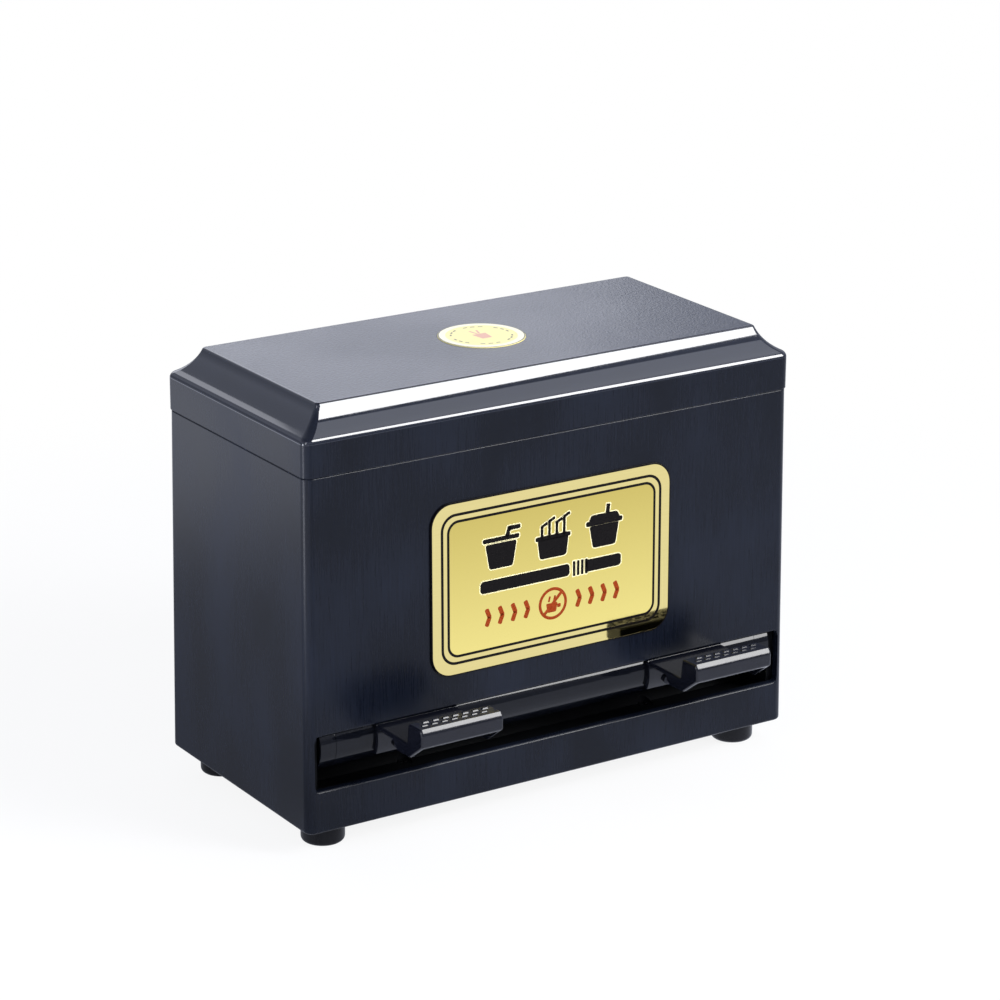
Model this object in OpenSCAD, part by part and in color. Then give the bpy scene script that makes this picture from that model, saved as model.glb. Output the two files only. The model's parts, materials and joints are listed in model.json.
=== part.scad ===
// Countertop straw dispenser. A drafted box with a lift-off lid holds the straws, a sloped chute rolls
// them to a grooved roller behind the front slot, and two finger levers turn the roller to bring one out.
//
// Millimetres. +Z is up, +X runs along the width and the front faces -Y. The origin is on the table,
// under the middle of the whole outline, levers included.

/* [Cabinet] */
// Width of the cabinet at its base
body_w = 235; // [230:1:240]
// Depth of the cabinet at its base
body_d = 115; // [112:1:120]
// Overall height, feet to lid plate
overall_h = 185; // [180:1:195]
// Width of the cabinet under the lid
top_w = 232.1; // [231.4:0.1:232.2]
// Depth of the cabinet under the lid
top_d = 111.4; // [110.8:0.1:111.5]
// Height of the lid seam above the table
seam_z = 158; // [155:1:159]
// Wall thickness
wall = 2.8; // [2.7:0.1:3]
// Radius of the upright corners
corner_r = 4; // [3:0.5:5]

/* [Lid] */
// Width of the lid
lid_w = 232.6; // [232.4:0.1:233.6]
// Depth of the lid
lid_d = 111.8; // [111.6:0.1:112.8]
// Height of the lid's upright skirt
skirt_h = 15.4; // [14:0.2:17]
// How far the cove draws the top in on each end
cove_x = 11.3; // [9:0.1:12]
// How far the cove draws the top in at the front and back
cove_y = 9.7; // [9:0.1:12]
// Radius of the cove
cove_r = 20; // [16:1:26]
// Radius of the round plate on the lid
medallion_r = 18.2; // [12:0.1:22]

/* [Slot and trough] */
// Height of the slot's lower lip
slot_z0 = 28; // [27.6:0.1:28.4]
// Height of the slot's upper lip
slot_z1 = 51; // [50.9:0.05:51.2]
// Length of the slot
slot_w = 228; // [226:0.5:228.5]
// Radius of the slot's corners
slot_r = 2.5; // [1:0.5:4]
// Height of the trough's floor
trough_z = 22.5; // [22:0.1:23.5]

/* [Roller] */
// Radius of the roller
roller_r = 12; // [11.8:0.05:12.1]
// How far the roller's axis lies behind the foot of the front face
roller_back = 14; // [13.9:0.05:14.2]
// Height of the roller's axis
roller_z = 44.5; // [44.3:0.05:44.6]
// Length of the grooved drum
drum_l = 206; // [200:1:207]
// Radius of the groove's round bottom
groove_r = 3.6; // [3:0.1:3.8]
// Width of the groove's mouth
groove_mouth = 9; // [8:0.1:9.5]
// Angle of the groove above the horizontal, at rest
groove_angle = 70; // [66:1:72]
// Angle that the levers turn the roller through
press_angle = 55; // [45:1:56]

/* [Levers] */
// Length of each lever along the roller
lever_w = 38; // [30:1:44]
// Distance of each lever's middle from the cabinet's middle
lever_x = 66; // [50:1:72]
// How far the levers reach in front of the foot of the front face
lever_reach = 33; // [32:0.5:34]

/* [Front plate] */
// Width of the front plate
label_w = 116; // [90:1:130]
// Height of the front plate
label_h = 73; // [60:1:76]
// Corner radius of the front plate
label_r = 9.5; // [4:0.5:14]
// Middle of the front plate, across
label_x = -2; // [-6:0.5:6]
// Middle of the front plate, up
label_z = 101; // [98:0.5:104]

/* [Feet] */
// Height of the feet
foot_h = 10; // [10:0.5:10.5]
// Radius of the feet
foot_r = 9; // [7:0.5:10]
// Distance of the feet's middles from the edges of the base
foot_inset = 15.5; // [15:0.1:16]

/* [Straw chute] */
// Slope of the chute
chute_slope = 20; // [18:0.5:21]
// Thickness of the chute
chute_t = 2.2; // [2:0.1:2.4]
// Inner distance between the side guides
straw_w = 207.6; // [207.4:0.1:208]

/* [Hidden] */
$fn = 64;
eps = 0.01;

// Places in depth: the levers and the cabinet together are centred on the origin
front_y = (lever_reach - body_d) / 2;
rear_y = front_y + body_d;
mid_y = front_y + body_d / 2;
tip_y = front_y - lever_reach;
roller_y = front_y + roller_back;

// Slope of the front face, and the depth of its outer and inner surfaces at a height
draft_y = (body_d - top_d) / 2 / (seam_z - foot_h);
draft_angle = atan(draft_y);
function front_at(z) = front_y + (z - foot_h) * draft_y;
function inner_at(z) = front_at(z) + wall;

// Lid
lid_top_z = overall_h - 0.3;
ledge_z = seam_z + skirt_h;
rim_h = 5;
rim_t = 2;
lid_wall = 2.2;
medallion_t = 1;

// Base and feet
base_t = 3;
base_gap = 0.4;
boss_r = 4.5;
boss_z1 = 20;
foot_x = body_w / 2 - foot_inset;
foot_ys = [front_y + foot_inset, rear_y - foot_inset];
foot_screw_r = 1.95;

// Roller carrier
fit_gap = 0.05;
cap_l = 7.2;
cap_x = drum_l / 2 + 0.05;
cap_end = cap_x + cap_l;
cheek_x0 = cap_end + 0.65;
cheek_t = 2.7;
cheek_x1 = cheek_x0 + cheek_t;
cheek_y0 = inner_at(roller_z) + 0.8;
cheek_y1 = roller_y + 15;
cheek_top = roller_z + 14.5;
pin_r = 2.45;
pin_in = 11;
bush_r = 4.5;
bush_flange_r = 6;
bush_flange_t = 0.6;
stop_orbit = 9;
stop_r = 1.2;
stop_angle = 235;
stop_slack = 2;
leg_ys = [cheek_y0 + 3.8, cheek_y1 - 4.2];
leg_z = 17;

// Return spring
spring_r = 7.2;
wire_r = 0.6;
spring_turns = 3;
spring_x0 = cap_x + 3.1;
spring_x1 = cap_end - 1;
spring_hole_r = 0.9;

// Trough
trough_y0 = inner_at(trough_z) + 0.35;
trough_y1 = cheek_y1 + 0.3;
trough_t = 2;
trough_l = 2 * (cheek_x0 - 0.1);
trough_screw_x = 60;
trough_screw_y = roller_y + 7;
pillar_z1 = trough_z - 4.6;

// Levers, as depth and height in front of and above the roller's axis
plate_top = 6;
plate_t = 2.2;
saddle_t = 1.9;
saddle_gap = 0.05;
saddle_low = -28;
lever_screw_angle = -12;
lever_screw_dx = 10;
bar_front = tip_y - roller_y;
bar_back = bar_front + 10.6;

// Chute and guides
sweep_gap = 0.6;
chute_y0 = roller_y + 2.2;
chute_z0 = roller_z + roller_r + 0.45;
chute_y1 = rear_y - wall - 1.6;
guide_t = 1.8;
guide_top = seam_z - 10;
flange_t = 2;
flange_w = 7.8;
chute_screw_x = straw_w / 2 + 4.9;
chute_screw_s = [26, 88];
ledge_x0 = 107;
function chute_at(y) = chute_z0 + (y - chute_y0) * tan(chute_slope);

// Outline helpers

// Points of a round stretch of an outline
function arc(c, r, a0, a1, n = 6) = [
    for (i = [0 : n]) let (a = a0 + (a1 - a0) * i / n) c + r * [cos(a), sin(a)]
];

module rounded_rect(w, d, r) {
    square([w - 2 * r, d], center = true);
    square([w, d - 2 * r], center = true);
    for (sx = [-1, 1], sy = [-1, 1])
        translate([sx * (w / 2 - r), sy * (d / 2 - r)]) circle(r);
}

// Rounded slab over the cabinet's middle
module slab(w, d, r, z0, z1) {
    translate([0, mid_y, z0]) linear_extrude(z1 - z0) rounded_rect(w, d, r);
}

// Outline in depth and height, drawn out along X
module along_x(x0, x1) {
    translate([x0, 0, 0]) rotate([90, 0, 90]) linear_extrude(x1 - x0) children();
}

// Round bar along X, given by its depth and height
module rod_x(r, x0, x1, y, z) {
    translate([x0, y, z]) rotate([0, 90, 0]) cylinder(r = r, h = x1 - x0);
}

module both_sides() {
    children();
    mirror([1, 0, 0]) children();
}

// Frame on the chute's upper face: x across, s up the slope, z square to it
module on_chute(x, s) {
    translate([x, chute_y0, chute_z0]) rotate([chute_slope, 0, 0]) translate([0, s, 0]) children();
}

// Frame on the roller's surface, facing out, at an angle above the horizontal
module on_roller(x, angle, r) {
    translate([x, roller_y, roller_z]) rotate([90 - angle, 0, 0]) translate([0, 0, r]) children();
}

// Pan-head screw standing on z = 0 with its shank below
module pan_screw(shank_r, length, head_r, head_h) {
    difference() {
        union() {
            translate([0, 0, -length]) cylinder(r = shank_r, h = length);
            cylinder(r = head_r, h = head_h);
        }
        for (a = [0, 90])
            rotate(a) translate([-head_r * 0.6, -0.3, head_h - 0.8]) cube([head_r * 1.2, 0.6, 1]);
    }
}

// Cabinet

// Points of a rounded rectangle over the cabinet's middle, at one height
function ring(w, d, r, z) = [
    for (q = [0 : 3], p = arc([0, 0], r, q * 90, q * 90 + 90, 8))
        let (sx = (q == 0 || q == 3) ? 1 : -1, sy = q < 2 ? 1 : -1)
            [sx * (w / 2 - r) + p[0], mid_y + sy * (d / 2 - r) + p[1], z]
];

// Drafted block between two heights, drawn in by a wall
module drafted_block(inset, z0, z1) {
    function narrow(base, top, z) = base + (top - base) * (z - foot_h) / (seam_z - foot_h) - 2 * inset;
    r = corner_r - inset * 0.8;
    rings = [for (z = [z0, z1]) ring(narrow(body_w, top_w, z), narrow(body_d, top_d, z), r, z)];
    n = len(rings[0]);
    sides = [for (i = [0 : n - 1]) let (j = (i + 1) % n) each [[i, i + n, j + n], [i, j + n, j]]];
    caps = [[for (i = [0 : n - 1]) i], [for (i = [n - 1 : -1 : 0]) n + i]];
    polyhedron(concat(rings[0], rings[1]), concat(sides, caps), convexity = 2);
}

module slot_cut() {
    translate([0, inner_at(slot_z1) + 1, (slot_z0 + slot_z1) / 2]) rotate([90, 0, 0])
        linear_extrude(wall + 4) rounded_rect(slot_w, slot_z1 - slot_z0, slot_r);
}

// Rim that the lid drops over
module lid_rim() {
    w = lid_w - 2 * lid_wall - 0.8;
    d = lid_d - 2 * lid_wall - 0.8;
    difference() {
        slab(w, d, 2.5, seam_z - 8, seam_z + rim_h);
        slab(w - 2 * rim_t, d - 2 * rim_t, 1.2, seam_z - 9, seam_z + rim_h + 1);
    }
}

// Sloped ledge on a side wall that the chute is screwed to
module chute_ledge() {
    drop = chute_t / cos(chute_slope) + 0.1;
    y0 = cheek_y1 + 4;
    y1 = rear_y - wall - 0.4;
    along_x(ledge_x0, body_w / 2 - wall + 0.8)
        polygon([
            [y0, chute_at(y0) - drop], [y0, chute_at(y0) - drop - 6],
            [y1, chute_at(y1) - drop - 6], [y1, chute_at(y1) - drop]
        ]);
}

// Corner boss on a web, for the foot screw
module corner_boss(y) {
    z0 = foot_h + base_t + fit_gap;
    translate([foot_x, y, z0]) cylinder(r = boss_r, h = boss_z1 - z0);
    translate([foot_x, y - 1.2, z0]) cube([foot_inset - wall + 1, 2.4, boss_z1 - z0]);
}

module body_shell() {
    color("#2b2d37") difference() {
        union() {
            difference() {
                drafted_block(0, foot_h, seam_z);
                drafted_block(wall, foot_h - 1, seam_z + 1);
            }
            lid_rim();
            both_sides() {
                chute_ledge();
                for (y = foot_ys) corner_boss(y);
            }
        }
        slot_cut();
        for (sx = [-1, 1], y = foot_ys)
            translate([sx * foot_x, y, foot_h]) cylinder(r = foot_screw_r + fit_gap, h = 9.2);
        for (sx = [-1, 1], s = chute_screw_s)
            on_chute(sx * chute_screw_x, s) translate([0, 0, -8]) cylinder(r = 1.5, h = 8);
    }
}

module base_plate() {
    w = body_w - 2 * wall - 2 * base_gap;
    d = body_d - 2 * wall - 2 * base_gap;
    color("#22242c") difference() {
        union() {
            slab(w, d, 1.4, foot_h, foot_h + base_t);
            for (sx = [-1, 1])
                translate([sx * trough_screw_x, trough_screw_y, foot_h + base_t - eps])
                    cylinder(r = 4, h = pillar_z1 - foot_h - base_t + eps);
            for (x = [-70 : 35 : 70])
                translate([x - 0.9, trough_y1 + 3, foot_h + base_t - eps]) cube([1.8, 66, 4]);
        }
        for (sx = [-1, 1], y = foot_ys)
            translate([sx * foot_x, y, foot_h - 1]) cylinder(r = foot_screw_r + 0.3, h = base_t + 2);
        for (sx = [-1, 1])
            translate([sx * trough_screw_x, trough_screw_y, foot_h + 1.2]) cylinder(r = 1.3, h = 10);
    }
}

// Lid

// Round bar that cuts the cove along one edge, given the edge's outward distance and the draw-in
module cove_bar(edge, draw, half_l) {
    rise = lid_top_z - ledge_z;
    chord = sqrt(draw * draw + rise * rise);
    back = sqrt(cove_r * cove_r - chord * chord / 4);
    out = edge - draw / 2 + back * rise / chord;
    up = (ledge_z + lid_top_z) / 2 + back * draw / chord;
    translate([out, 0, up]) rotate([90, 0, 0])
        cylinder(r = cove_r, h = 2 * half_l, center = true, $fn = 128);
}

module lid() {
    color("#2b2d37") difference() {
        slab(lid_w, lid_d, corner_r - 0.4, seam_z, lid_top_z);
        translate([0, mid_y, 0]) for (a = [0, 180]) rotate(a) {
            cove_bar(lid_w / 2, cove_x, lid_d);
            rotate(90) cove_bar(lid_d / 2, cove_y, lid_w);
        }
        slab(lid_w - 2 * lid_wall, lid_d - 2 * lid_wall, 2, seam_z - 1, ledge_z - 2.4);
        slab(lid_w - 2 * cove_x - 5, lid_d - 2 * cove_y - 5, 2, ledge_z - 2.5, lid_top_z - 2.5);
        translate([0, mid_y, lid_top_z - 0.7]) cylinder(r = medallion_r + 0.15, h = 2);
    }
}

module lid_medallion() {
    color("#e8dca0") translate([0, mid_y, overall_h - medallion_t])
        cylinder(r = medallion_r, h = medallion_t);
}

module front_label() {
    color("#d8b34a") translate([label_x, front_at(label_z), label_z]) rotate([90 - draft_angle, 0, 0])
        translate([0, 0, 0.03]) linear_extrude(0.8) rounded_rect(label_w, label_h, label_r);
}

// Feet

// Round foot with a rolled lower edge and a recess for its screw
module foot(x, y) {
    color("#16171b") translate([x, y, 0]) difference() {
        rotate_extrude() {
            translate([0, 2]) square([foot_r, foot_h - 2]);
            square([foot_r - 2, 3]);
            translate([foot_r - 2, 2]) circle(2);
        }
        translate([0, 0, -1]) cylinder(r = 4.8, h = 5);
        cylinder(r = foot_screw_r + 0.2, h = foot_h + 1);
    }
}

module foot_front_left() { foot(-foot_x, foot_ys[0]); }

module foot_front_right() { foot(foot_x, foot_ys[0]); }

module foot_rear_left() { foot(-foot_x, foot_ys[1]); }

module foot_rear_right() { foot(foot_x, foot_ys[1]); }

module foot_screws() {
    color("#9a9ca0") for (sx = [-1, 1], y = foot_ys)
        translate([sx * foot_x, y, 4]) rotate([180, 0, 0]) pan_screw(foot_screw_r, 14.6, 3.8, 2.4);
}

// Roller carrier

module straw_trough() {
    color("#1d1f26") difference() {
        union() {
            along_x(-trough_l / 2, trough_l / 2)
                polygon([
                    [trough_y0, trough_z - trough_t], [trough_y1, trough_z - trough_t],
                    [trough_y1, roller_z], [trough_y1 - 1.5, roller_z],
                    [trough_y1 - 1.5, trough_z + 6], [trough_y1 - 7.5, trough_z], [trough_y0 + 1.6, trough_z],
                    [trough_y0 + 1.6, slot_z0 - 0.5], [trough_y0, slot_z0 - 0.5]
                ]);
            for (sx = [-1, 1]) {
                translate([sx * trough_screw_x, trough_screw_y, pillar_z1 + 0.1])
                    cylinder(r = 5, h = trough_z - pillar_z1 - 0.2);
                for (y = leg_ys)
                    translate([sx * (trough_l / 2 - 4) - 4, y - 3, 14]) cube([8, 6, trough_z - 15]);
            }
        }
        for (sx = [-1, 1]) {
            translate([sx * trough_screw_x, trough_screw_y, 0]) cylinder(r = 1.7, h = 40);
            translate([sx * trough_screw_x, trough_screw_y, trough_z - 2.2]) cylinder(r = 3.2, h = 5);
            for (y = leg_ys)
                rod_x(1.35, sx * trough_l / 2 - 7, sx * trough_l / 2 + 7, y, leg_z);
        }
    }
}

module trough_screws() {
    color("#9a9ca0") for (sx = [-1, 1])
        translate([sx * trough_screw_x, trough_screw_y, trough_z - 2.2]) pan_screw(1.25, 8, 2.7, 1.8);
}

// Plate that carries one end of the roller, drawn for the right side
module cheek() {
    difference() {
        along_x(cheek_x0, cheek_x1) difference() {
            translate([cheek_y0, 13.6]) square([cheek_y1 - cheek_y0, cheek_top - 13.6]);
            translate([foot_ys[0] - 2, 13]) square([4, boss_z1 - 12.6]);
            translate([roller_y, roller_z]) circle(bush_r + fit_gap);
        }
        for (y = leg_ys) {
            rod_x(1.5, cheek_x0 - 1, cheek_x1 + 1, y, leg_z);
            rod_x(2.6, cheek_x1 - 1.5, cheek_x1 + 1, y, leg_z);
        }
    }
}

module left_cheek() {
    color("#3a3d47") difference() {
        mirror([1, 0, 0]) cheek();
        // Round slot that the stop pin runs in
        translate([-cheek_x0 - cheek_t / 2, roller_y, roller_z]) rotate([90, 0, 90]) {
            rotate(stop_angle - stop_slack) rotate_extrude(angle = press_angle + 2 * stop_slack)
                translate([stop_orbit - stop_r - 0.3, -5]) square([2 * stop_r + 0.6, 10]);
            for (a = [stop_angle - stop_slack, stop_angle + press_angle + stop_slack])
                rotate(a) translate([stop_orbit, 0, -5]) cylinder(r = stop_r + 0.3, h = 10);
        }
    }
}

module right_cheek() {
    color("#3a3d47") difference() {
        cheek();
        // Hole for the spring's outer leg
        rod_x(spring_hole_r, cheek_x0 - 1, cheek_x1 + 1, roller_y, roller_z - spring_r);
    }
}

module cheek_screws() {
    color("#9a9ca0") for (sx = [-1, 1], y = leg_ys)
        translate([sx * (cheek_x1 - 1.5), y, leg_z]) rotate([0, sx * 90, 0]) pan_screw(1.3, 7, 2.4, 1.3);
}

// Flanged bush in the right cheek
module bush() {
    difference() {
        union() {
            rod_x(bush_r, cheek_x0 - bush_flange_t, cheek_x1, roller_y, roller_z);
            rod_x(bush_flange_r, cheek_x0 - bush_flange_t, cheek_x0 - 0.02, roller_y, roller_z);
        }
        rod_x(pin_r + fit_gap, cheek_x0 - 2, cheek_x1 + 1, roller_y, roller_z);
    }
}

module left_bush() { color("#d9d6c8") mirror([1, 0, 0]) bush(); }

module right_bush() { color("#d9d6c8") bush(); }

// Straw groove of the roller: a round bottom that opens to the mouth
module groove_outline() {
    depth = roller_r - groove_r * 2;
    mouth_z = sqrt(roller_r * roller_r - groove_mouth * groove_mouth / 4);
    translate([roller_y, roller_z]) rotate(180 - groove_angle) {
        translate([roller_r - depth, 0]) circle(groove_r);
        polygon([
            [roller_r - depth, -groove_r], [mouth_z, -groove_mouth / 2],
            [roller_r + 2, -groove_mouth / 2 - 0.6], [roller_r + 2, groove_mouth / 2 + 0.6],
            [mouth_z, groove_mouth / 2], [roller_r - depth, groove_r]
        ]);
    }
}

module straw_roller() {
    color("#2f323c") difference() {
        rod_x(roller_r, -drum_l / 2, drum_l / 2, roller_y, roller_z, $fn = 96);
        along_x(-drum_l, drum_l) groove_outline();
        for (sx = [-1, 1]) {
            rod_x(pin_r + fit_gap, sx * drum_l / 2 - pin_in, sx * drum_l / 2 + pin_in, roller_y, roller_z);
            for (dx = [-lever_screw_dx, lever_screw_dx])
                on_roller(sx * lever_x + dx, lever_screw_angle, roller_r - 6.5) cylinder(r = 1.25, h = 10);
        }
    }
}

module left_end_cap() {
    color("#2f323c") difference() {
        rod_x(roller_r, -cap_end, -cap_x, roller_y, roller_z, $fn = 96);
        rod_x(pin_r + fit_gap, -cap_end - 1, -cap_x + 1, roller_y, roller_z);
        translate([-cap_end - 1, roller_y, roller_z]) rotate([stop_angle, 0, 0])
            rod_x(stop_r + fit_gap, 0, cap_l, stop_orbit, 0);
    }
}

// Cup at the roller's right end, open outwards, with the spring round its hub
module spring_cup() {
    color("#2f323c") difference() {
        rod_x(roller_r, cap_x, cap_end, roller_y, roller_z, $fn = 96);
        difference() {
            rod_x(roller_r - 2, cap_x + 2, cap_end + 1, roller_y, roller_z);
            rod_x(4.2, cap_x, cap_end + 2, roller_y, roller_z);
        }
        rod_x(pin_r + fit_gap, cap_x - 1, cap_end + 1, roller_y, roller_z);
        rod_x(spring_hole_r, cap_x + 0.4, cap_end, roller_y, roller_z + spring_r);
    }
}

module left_axle_pin() {
    color("#a8aab0") rod_x(pin_r, -cheek_x1 + 0.1, -drum_l / 2 + pin_in - 0.2, roller_y, roller_z);
}

module right_axle_pin() {
    color("#a8aab0") rod_x(pin_r, drum_l / 2 - pin_in + 0.2, cheek_x1 - 0.1, roller_y, roller_z);
}

module stop_pin() {
    color("#a8aab0") translate([-cheek_x1 + 0.4, roller_y, roller_z]) rotate([stop_angle, 0, 0])
        rod_x(stop_r, 0, cap_l + cheek_t - 1, stop_orbit, 0);
}

// Torsion spring: [distance along X, angle] of each ring, with a straight leg at each end
spring_steps = 8 * spring_turns + 4;
spring_rings = concat(
    [[cap_x + 0.7, 90], [cap_x + 2.2, 90]],
    [for (i = [0 : spring_steps])
        [spring_x0 + (spring_x1 - spring_x0) * i / spring_steps, 94 + 45 * i - 8 * i / spring_steps]],
    [[cheek_x0 + 0.2, 270], [cheek_x1 - 0.5, 270]]
);

function spring_point(ring) = [ring[0], spring_r * cos(ring[1]), spring_r * sin(ring[1])];

// Tube with six sides swept along the rings
module coil_tube(rings, sides) {
    n = len(rings);
    points = [for (i = [0 : n - 1]) spring_point(rings[i])];
    outward = [for (i = [0 : n - 1]) [0, cos(rings[i][1]), sin(rings[i][1])]];
    along = [for (i = [0 : n - 1])
        let (d = points[min(i + 1, n - 1)] - points[max(i - 1, 0)]) d / norm(d)];
    skin = [for (i = [0 : n - 1], k = [0 : sides - 1])
        let (a = 360 * k / sides, side = cross(along[i], outward[i]))
            points[i] + wire_r * (cos(a) * outward[i] + sin(a) * side)];
    ends = [[for (k = [0 : sides - 1]) k], [for (k = [sides - 1 : -1 : 0]) (n - 1) * sides + k]];
    quads = [for (i = [0 : n - 2], k = [0 : sides - 1])
        let (a = i * sides, j = (k + 1) % sides) [a + k, a + sides + k, a + sides + j, a + j]];
    faces = [for (q = quads, t = [[0, 1, 2], [0, 2, 3]]) [q[t[0]], q[t[1]], q[t[2]]]];
    polyhedron(skin, concat(faces, ends), convexity = 6);
}

module return_spring() {
    color("#b8bac0") translate([0, roller_y, roller_z]) coil_tube(spring_rings, 6);
}

// Levers

// Side outline of a lever, measured from the roller's axis: a saddle on the roller, a flat plate out of the
// slot and a raised finger bar with a keel at its front
module lever_outline() {
    low = plate_top - plate_t;
    difference() {
        union() {
            polygon(concat(
                [[-roller_r + 1, low], [-roller_r + 1, plate_top], [bar_back + 1, plate_top]],
                arc([bar_back - 1, 14.2], 1, 5, 90, 3),
                arc([bar_front + 3.6, 11.7], 3.5, 95, 180, 6),
                [[bar_front, 7.8]],
                arc([bar_front + 10.1, 1.9], 1.4, 230, 270, 3),
                arc([bar_front + 18.2, 1.5], 1.4, 270, 315, 3),
                [[bar_front + 22.6, low]]
            ));
            intersection() {
                circle(roller_r + saddle_gap + saddle_t, $fn = 96);
                polygon([
                    [0, 0], 24 * [-cos(saddle_low), sin(saddle_low)],
                    [-24, 0], [-24, plate_top], [-9, plate_top]
                ]);
            }
        }
        circle(roller_r + saddle_gap, $fn = 96);
    }
}

module lever(x) {
    color("#31343f") difference() {
        along_x(x - lever_w / 2, x + lever_w / 2) translate([roller_y, roller_z]) lever_outline();
        for (dx = [-lever_screw_dx, lever_screw_dx])
            on_roller(x + dx, lever_screw_angle, roller_r - 2) cylinder(r = 1.4, h = 8);
    }
}

module left_lever() { lever(-lever_x); }

module right_lever() { lever(lever_x); }

module lever_screws() {
    color("#9a9ca0") for (sx = [-1, 1], dx = [-lever_screw_dx, lever_screw_dx])
        on_roller(sx * lever_x + dx, lever_screw_angle, roller_r + saddle_gap + saddle_t + 0.1)
            pan_screw(1.2, 8, 2.1, 1.2);
}

// Chute and guides

module straw_chute() {
    drop = chute_t / cos(chute_slope);
    notch_y = cheek_y1 + 1.5;
    color("#1d1f26") difference() {
        union() {
            along_x(-cheek_x0 + 0.5, cheek_x0 - 0.5)
                polygon([
                    [chute_y0, chute_z0], [chute_y0, chute_z0 - drop],
                    [notch_y + 1, chute_at(notch_y + 1) - drop], [notch_y + 1, chute_at(notch_y + 1)]
                ]);
            along_x(-straw_w / 2 - 8.2, straw_w / 2 + 8.2)
                polygon([
                    [notch_y, chute_at(notch_y)], [notch_y, chute_at(notch_y) - drop],
                    [chute_y1, chute_at(chute_y1) - drop], [chute_y1, chute_at(chute_y1) + 12],
                    [chute_y1 - 2, chute_at(chute_y1) + 12], [chute_y1 - 2, chute_at(chute_y1 - 2)]
                ]);
        }
        rod_x(roller_r + sweep_gap, -120, 120, roller_y, roller_z, $fn = 96);
        for (sx = [-1, 1], s = chute_screw_s)
            on_chute(sx * chute_screw_x, s) translate([0, 0, -5]) cylinder(r = 1.7, h = 8);
    }
}

// Upright guide that keeps the straws' ends in line, drawn for the right side
module side_guide() {
    x0 = straw_w / 2;
    y0 = inner_at(guide_top) + 0.6;
    y1 = chute_y1 - 3;
    difference() {
        union() {
            along_x(x0, x0 + guide_t)
                polygon([
                    [y0, guide_top], [y0, chute_z0 - 4], [chute_y0, chute_z0 + fit_gap],
                    [y1, chute_at(y1) + fit_gap], [y1, guide_top]
                ]);
            on_chute(x0, 16) translate([0, 0, fit_gap]) cube([flange_w, 80, flange_t]);
            for (y = [y0 + 8, y1 - 8])
                rod_x(3, x0 + guide_t - eps, top_w / 2 - wall - 0.3, y, guide_top - 12);
        }
        rod_x(roller_r + sweep_gap, 0, 130, roller_y, roller_z, $fn = 96);
        for (s = chute_screw_s)
            on_chute(chute_screw_x, s) cylinder(r = 1.7, h = 8);
    }
}

module left_side_guide() { color("#24262e") mirror([1, 0, 0]) side_guide(); }

module right_side_guide() { color("#24262e") side_guide(); }

module chute_screws() {
    color("#9a9ca0") for (sx = [-1, 1], s = chute_screw_s)
        on_chute(sx * chute_screw_x, s) translate([0, 0, flange_t + 0.1]) pan_screw(1.45, 10, 2.6, 1.6);
}

// Strip that leads straws off the front wall and wipes the roller
module front_wiper() {
    z0 = slot_z1 + 1.2;
    z1 = slot_z1 + 18;
    lip = [roller_y, roller_z] + (roller_r + 0.5) * [-cos(46), sin(46)];
    color("#101114") difference() {
        along_x(-straw_w / 2 + 0.4, straw_w / 2 - 0.4)
            polygon([[inner_at(z0) + 0.1, z0], lip, [inner_at(z1) + 0.8, z1], [inner_at(z1) + 0.1, z1]]);
        rod_x(roller_r + 0.45, -120, 120, roller_y, roller_z, $fn = 96);
    }
}

body_shell();
lid();
lid_medallion();
front_label();
base_plate();
foot_front_left();
foot_front_right();
foot_rear_left();
foot_rear_right();
foot_screws();
straw_trough();
trough_screws();
left_cheek();
right_cheek();
cheek_screws();
left_bush();
right_bush();
straw_roller();
left_end_cap();
spring_cup();
left_axle_pin();
right_axle_pin();
stop_pin();
return_spring();
left_lever();
right_lever();
lever_screws();
straw_chute();
left_side_guide();
right_side_guide();
chute_screws();
front_wiper();
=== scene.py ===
import json
from math import cos, hypot, pi, radians, sin, sqrt, tan

import bmesh
import bpy
from mathutils import Matrix, Vector


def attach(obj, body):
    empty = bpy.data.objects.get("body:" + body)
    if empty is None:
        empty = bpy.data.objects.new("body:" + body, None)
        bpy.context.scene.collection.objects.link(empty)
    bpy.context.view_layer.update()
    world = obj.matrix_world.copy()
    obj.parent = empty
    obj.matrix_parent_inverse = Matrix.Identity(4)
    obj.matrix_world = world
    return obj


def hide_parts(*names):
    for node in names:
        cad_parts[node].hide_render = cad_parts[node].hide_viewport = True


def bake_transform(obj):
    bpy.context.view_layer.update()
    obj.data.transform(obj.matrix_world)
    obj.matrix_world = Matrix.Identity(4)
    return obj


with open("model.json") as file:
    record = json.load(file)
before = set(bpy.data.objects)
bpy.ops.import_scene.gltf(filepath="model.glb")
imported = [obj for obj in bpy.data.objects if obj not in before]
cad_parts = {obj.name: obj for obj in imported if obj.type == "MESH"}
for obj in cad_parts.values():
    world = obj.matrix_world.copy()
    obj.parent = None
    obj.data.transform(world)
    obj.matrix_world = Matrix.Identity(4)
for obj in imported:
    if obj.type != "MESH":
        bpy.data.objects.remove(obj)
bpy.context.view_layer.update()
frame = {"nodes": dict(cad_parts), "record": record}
nodes = frame["nodes"]
print("frame loaded:", len(nodes), "nodes")


millimetre = 0.001
hair = 0.05  # mm: closer than this, two places count as one
square = 0.99  # least share of a face's normal along the axis that it faces


def mm(*values):
    return tuple(value * millimetre for value in values)


def clearSelection():
    if bpy.context.mode != "OBJECT":
        bpy.ops.object.mode_set(mode="OBJECT")
    bpy.ops.object.select_all(action="DESELECT")


def makeActive(piece):
    clearSelection()
    piece.select_set(True)
    bpy.context.view_layer.objects.active = piece


def settle(name):
    # The new primitive gets its name, and its place goes into its mesh
    piece = bpy.context.object
    piece.name = piece.data.name = name
    bpy.ops.object.transform_apply(location=True, rotation=True, scale=True)
    return piece


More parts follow.
